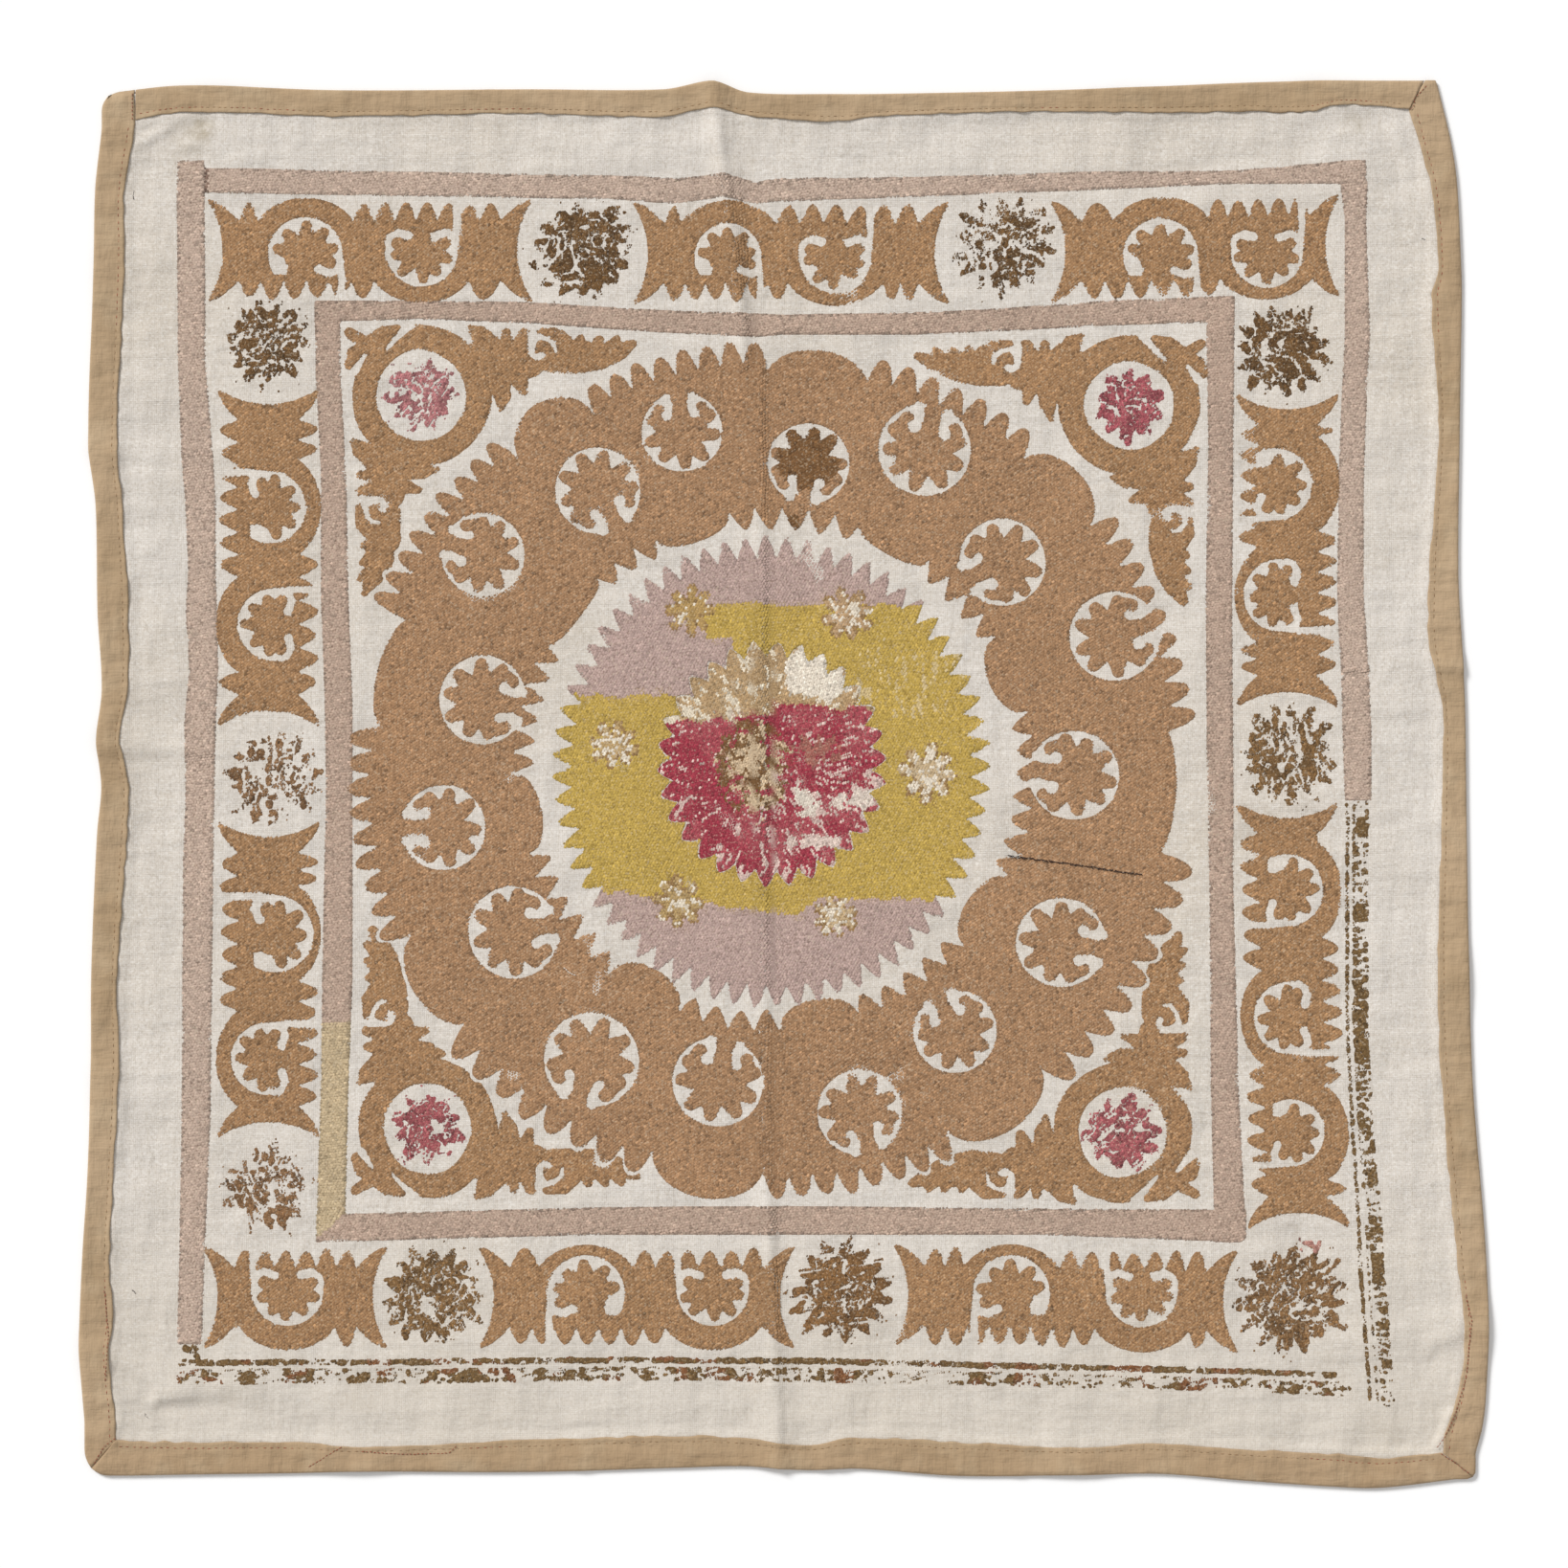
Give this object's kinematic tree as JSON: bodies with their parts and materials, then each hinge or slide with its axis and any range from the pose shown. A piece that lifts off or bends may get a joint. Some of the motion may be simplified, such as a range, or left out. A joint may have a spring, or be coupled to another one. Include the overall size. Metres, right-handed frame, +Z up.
{
  "type": "embroidered tablecloth",
  "caption": "Square linen tablecloth with an embroidered wreath, medallion and border, edged by a folded cotton binding, laid out flat.",
  "frame": {"origin": "under the middle of the cloth, on the surface that it lies on", "axes": "+Z up from the surface, +X to the right and +Y to the top of the cloth as seen from above"},
  "size_m": [1.1038, 1.1016, 0.0063],
  "materials": {
    "linen": "matt, plain weave, embroidered",
    "binding": "matt, plain weave"
  },
  "bodies": {
    "root": {"ground_cloth": "linen", "binding_top": "binding", "binding_right": "binding", "binding_bottom": "binding", "binding_left": "binding"}
  },
  "joints": []
}
